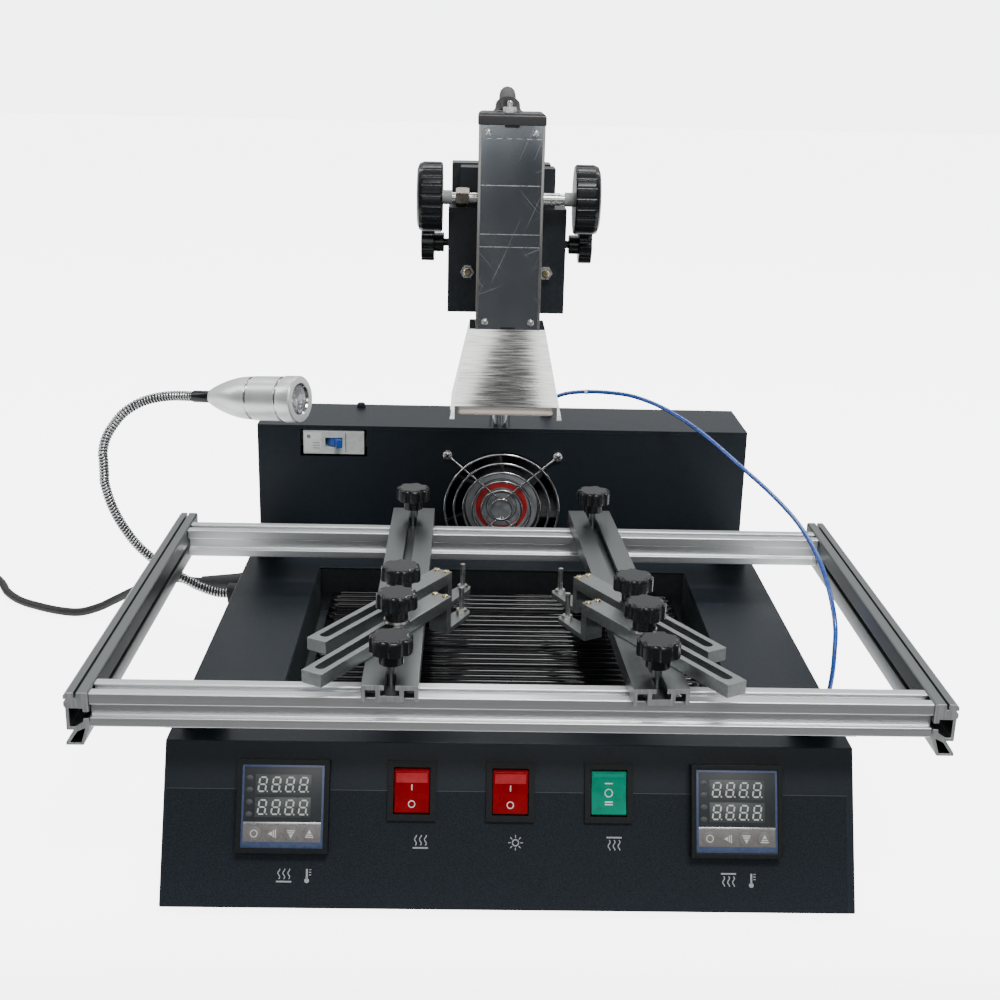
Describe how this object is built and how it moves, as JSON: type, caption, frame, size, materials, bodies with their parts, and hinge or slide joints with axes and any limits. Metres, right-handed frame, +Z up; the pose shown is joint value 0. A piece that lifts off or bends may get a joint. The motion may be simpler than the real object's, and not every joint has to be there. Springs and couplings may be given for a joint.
{
  "type": "infrared rework station",
  "caption": "Bench infrared rework station: sloped console with ceramic preheat plates, slotted board frame with clamp arms, and a heater head on a mast.",
  "frame": {"origin": "centre of the base pan's underside, midway between the panel's lower edge and the tower's back", "axes": "+X to the right seen from the front, +Y to the back, +Z up"},
  "size_m": [0.7538, 0.507, 0.4149],
  "materials": {
    "case_paint": "textured powder coat",
    "well_paint": "heat-resistant black",
    "foot_rubber": "matt",
    "plate_glaze": "dark ceramic glaze",
    "panel_plastic": "fine satin",
    "switch_black": "moulded",
    "rocker_red": "translucent",
    "rocker_green": "translucent",
    "breaker_grey": "moulded",
    "toggle_blue": "moulded",
    "fan_black": "moulded",
    "fan_grey": "moulded",
    "guard_chrome": "polished wire",
    "rail_aluminium": "anodised satin",
    "arm_aluminium": "milled satin",
    "post_black": "satin",
    "gland_black": "matt",
    "lead_black": "matt",
    "lead_blue": "sheathed",
    "neck_chrome": "spiral",
    "knob_black": "moulded",
    "bolt_steel": "zinc plated",
    "mast_steel": "ground bar",
    "carriage_black": "satin",
    "knob_dark": "moulded",
    "head_grey": "satin",
    "cover_mirror": "polished sheet",
    "shroud_steel": "coarse brushed",
    "emitter_ceramic": "unglazed ceramic",
    "cable_grey": "matt",
    "lamp_aluminium": "brushed"
  },
  "bodies": {
    "station": {"base_pan": "case_paint", "console_cover": "case_paint", "rear_tower": "case_paint", "rubber_feet": "foot_rubber", "heater_well": "well_paint", "preheat_plates": "plate_glaze", "controller_left": "panel_plastic", "controller_right": "panel_plastic", "switch_frames": "switch_black", "breaker_body": "breaker_grey", "fan_frame": "fan_black", "fan_guard": "guard_chrome", "side_rails": "rail_aluminium", "cross_rails": "rail_aluminium", "frame_posts": "post_black", "cable_glands": "gland_black", "mains_lead": "lead_black", "mains_coil": "lead_black", "mains_plug": "lead_black", "sensor_lead": "lead_blue", "lamp_neck_lower": "neck_chrome"},
    "preheat_rocker": {"preheat_rocker": "rocker_red"},
    "lamp_rocker": {"lamp_rocker": "rocker_red"},
    "weld_rocker": {"weld_rocker": "rocker_green"},
    "breaker_toggle": {"breaker_toggle": "toggle_blue"},
    "fan_rotor": {"fan_rotor": "fan_grey"},
    "beam_left": {"beam_left": "rail_aluminium"},
    "clamp_knob_left_rear": {"clamp_knob_left_rear": "knob_black"},
    "clamp_knob_left_front": {"clamp_knob_left_front": "knob_black"},
    "bolt_left_rear": {"bolt_left_rear": "bolt_steel"},
    "washer_left_rear": {"washer_left_rear": "bolt_steel"},
    "arm_left_rear": {"arm_left_rear": "arm_aluminium"},
    "arm_knob_left_rear": {"arm_knob_left_rear": "knob_black"},
    "bolt_left_front": {"bolt_left_front": "bolt_steel"},
    "washer_left_front": {"washer_left_front": "bolt_steel"},
    "arm_left_front": {"arm_left_front": "arm_aluminium"},
    "arm_knob_left_front": {"arm_knob_left_front": "knob_black"},
    "beam_right": {"beam_right": "rail_aluminium"},
    "clamp_knob_right_rear": {"clamp_knob_right_rear": "knob_black"},
    "clamp_knob_right_front": {"clamp_knob_right_front": "knob_black"},
    "bolt_right_rear": {"bolt_right_rear": "bolt_steel"},
    "washer_right_rear": {"washer_right_rear": "bolt_steel"},
    "arm_right_rear": {"arm_right_rear": "arm_aluminium"},
    "arm_knob_right_rear": {"arm_knob_right_rear": "knob_black"},
    "bolt_right_front": {"bolt_right_front": "bolt_steel"},
    "washer_right_front": {"washer_right_front": "bolt_steel"},
    "arm_right_front": {"arm_right_front": "arm_aluminium"},
    "arm_knob_right_front": {"arm_knob_right_front": "knob_black"},
    "mast": {"mast": "mast_steel"},
    "carriage": {"carriage": "carriage_black"},
    "pinion_shaft": {"pinion_shaft": "knob_dark"},
    "lock_knob_left": {"lock_knob_left": "knob_black"},
    "lock_knob_right": {"lock_knob_right": "knob_black"},
    "head": {"head_box": "head_grey", "head_cover": "cover_mirror", "shroud": "shroud_steel", "emitter_plate": "emitter_ceramic", "head_cable": "cable_grey"},
    "lamp": {"lamp_neck_upper": "neck_chrome", "lamp_head": "lamp_aluminium"}
  },
  "joints": [
    {"name": "preheat_rocker_throw", "type": "hinge", "parent": "station", "child": "preheat_rocker", "pos_m": [-0.052, -0.19363, 0.05489], "axis": [1, 0, 0], "range_deg": [-18, 0]},
    {"name": "lamp_rocker_throw", "type": "hinge", "parent": "station", "child": "lamp_rocker", "pos_m": [0, -0.19363, 0.05489], "axis": [1, 0, 0], "range_deg": [-18, 0]},
    {"name": "weld_rocker_throw", "type": "hinge", "parent": "station", "child": "weld_rocker", "pos_m": [0.052, -0.19363, 0.05489], "axis": [1, 0, 0], "range_deg": [-9, 9]},
    {"name": "breaker_throw", "type": "hinge", "parent": "station", "child": "breaker_toggle", "pos_m": [-0.126, 0.1595, 0.1496], "axis": [0, 0, 1], "range_deg": [-44, 0]},
    {"name": "fan_spin", "type": "hinge", "parent": "station", "child": "fan_rotor", "pos_m": [0, 0.167, 0.1004], "axis": [0, 1, 0], "continuous": true},
    {"name": "beam_left_slide", "type": "slide", "parent": "station", "child": "beam_left", "axis": [1, 0, 0], "range_m": [-0.08, 0.015]},
    {"name": "clamp_knob_left_rear_turn", "type": "hinge", "parent": "beam_left", "child": "clamp_knob_left_rear", "pos_m": [-0.0623, 0.048, 0.14], "axis": [0, 0, 1], "continuous": true},
    {"name": "clamp_knob_left_front_turn", "type": "hinge", "parent": "beam_left", "child": "clamp_knob_left_front", "pos_m": [-0.0623, -0.204, 0.14], "axis": [0, 0, 1], "continuous": true},
    {"name": "bolt_left_rear_slide", "type": "slide", "parent": "beam_left", "child": "bolt_left_rear", "axis": [0, 1, 0], "range_m": [-0.006, 0.05]},
    {"name": "arm_left_rear_swivel", "type": "hinge", "parent": "bolt_left_rear", "child": "washer_left_rear", "pos_m": [-0.0623, -0.1125, 0.1356], "axis": [0, 0, 1], "range_deg": [-12, 0]},
    {"name": "arm_left_rear_reach", "type": "slide", "parent": "washer_left_rear", "child": "arm_left_rear", "axis": [0.515, 0.8572, 0], "range_m": [0, 0.04]},
    {"name": "arm_knob_left_rear_turn", "type": "hinge", "parent": "bolt_left_rear", "child": "arm_knob_left_rear", "pos_m": [-0.0623, -0.1125, 0.144], "axis": [0, 0, 1], "continuous": true},
    {"name": "bolt_left_front_slide", "type": "slide", "parent": "beam_left", "child": "bolt_left_front", "axis": [0, 1, 0], "range_m": [-0.014, 0.006]},
    {"name": "arm_left_front_swivel", "type": "hinge", "parent": "bolt_left_front", "child": "washer_left_front", "pos_m": [-0.0623, -0.1535, 0.1356], "axis": [0, 0, 1], "range_deg": [-10, 0]},
    {"name": "arm_left_front_reach", "type": "slide", "parent": "washer_left_front", "child": "arm_left_front", "axis": [0.5, 0.866, 0], "range_m": [0, 0.04]},
    {"name": "arm_knob_left_front_turn", "type": "hinge", "parent": "bolt_left_front", "child": "arm_knob_left_front", "pos_m": [-0.0623, -0.1535, 0.144], "axis": [0, 0, 1], "continuous": true},
    {"name": "beam_right_slide", "type": "slide", "parent": "station", "child": "beam_right", "axis": [1, 0, 0], "range_m": [-0.015, 0.065]},
    {"name": "clamp_knob_right_rear_turn", "type": "hinge", "parent": "beam_right", "child": "clamp_knob_right_rear", "pos_m": [0.05961, 0.048, 0.14], "axis": [0, 0, 1], "continuous": true},
    {"name": "clamp_knob_right_front_turn", "type": "hinge", "parent": "beam_right", "child": "clamp_knob_right_front", "pos_m": [0.0726, -0.204, 0.14], "axis": [0, 0, 1], "continuous": true},
    {"name": "bolt_right_rear_slide", "type": "slide", "parent": "beam_right", "child": "bolt_right_rear", "axis": [-0.0515, 0.9987, 0], "range_m": [-0.006, 0.05]},
    {"name": "arm_right_rear_swivel", "type": "hinge", "parent": "bolt_right_rear", "child": "washer_right_rear", "pos_m": [0.06837, -0.122, 0.1356], "axis": [0, 0, 1], "range_deg": [0, 12]},
    {"name": "arm_right_rear_reach", "type": "slide", "parent": "washer_right_rear", "child": "arm_right_rear", "axis": [-0.5075, 0.8616, 0], "range_m": [0, 0.04]},
    {"name": "arm_knob_right_rear_turn", "type": "hinge", "parent": "bolt_right_rear", "child": "arm_knob_right_rear", "pos_m": [0.06837, -0.122, 0.144], "axis": [0, 0, 1], "continuous": true},
    {"name": "bolt_right_front_slide", "type": "slide", "parent": "beam_right", "child": "bolt_right_front", "axis": [-0.0515, 0.9987, 0], "range_m": [-0.01, 0.006]},
    {"name": "arm_right_front_swivel", "type": "hinge", "parent": "bolt_right_front", "child": "washer_right_front", "pos_m": [0.07041, -0.1615, 0.1356], "axis": [0, 0, 1], "range_deg": [0, 5]},
    {"name": "arm_right_front_reach", "type": "slide", "parent": "washer_right_front", "child": "arm_right_front", "axis": [-0.518, 0.8554, 0], "range_m": [0, 0.04]},
    {"name": "arm_knob_right_front_turn", "type": "hinge", "parent": "bolt_right_front", "child": "arm_knob_right_front", "pos_m": [0.07041, -0.1615, 0.144], "axis": [0, 0, 1], "continuous": true},
    {"name": "mast_swing", "type": "hinge", "parent": "station", "child": "mast", "pos_m": [-0.0025, 0.166, 0.15], "axis": [0, 0, 1], "range_deg": [-25, 60]},
    {"name": "carriage_height", "type": "slide", "parent": "mast", "child": "carriage", "axis": [0, 0, 1], "range_m": [-0.06, 0.03]},
    {"name": "head_height", "type": "slide", "parent": "carriage", "child": "head", "axis": [0, 0, 1], "range_m": [-0.028, 0.01], "deforming": ["head_cable"]},
    {"name": "height_knob_turn", "type": "hinge", "parent": "carriage", "child": "pinion_shaft", "pos_m": [-0.0025, 0.0571, 0.3397], "axis": [1, 0, 0], "range_deg": [-65, 180]},
    {"name": "lock_knob_left_turn", "type": "hinge", "parent": "carriage", "child": "lock_knob_left", "pos_m": [-0.0475, 0.087, 0.3075], "axis": [1, 0, 0], "continuous": true},
    {"name": "lock_knob_right_turn", "type": "hinge", "parent": "carriage", "child": "lock_knob_right", "pos_m": [0.0425, 0.087, 0.3075], "axis": [1, 0, 0], "continuous": true},
    {"name": "lamp_bend", "type": "hinge", "parent": "station", "child": "lamp", "pos_m": [-0.2775, 0.079, 0.15], "axis": [0, 1, 0], "range_deg": [-15, 15]}
  ],
  "couplings": [
    {"joint": "height_knob_turn", "follows": "head_height", "rad_per_m": -111.11}
  ]
}
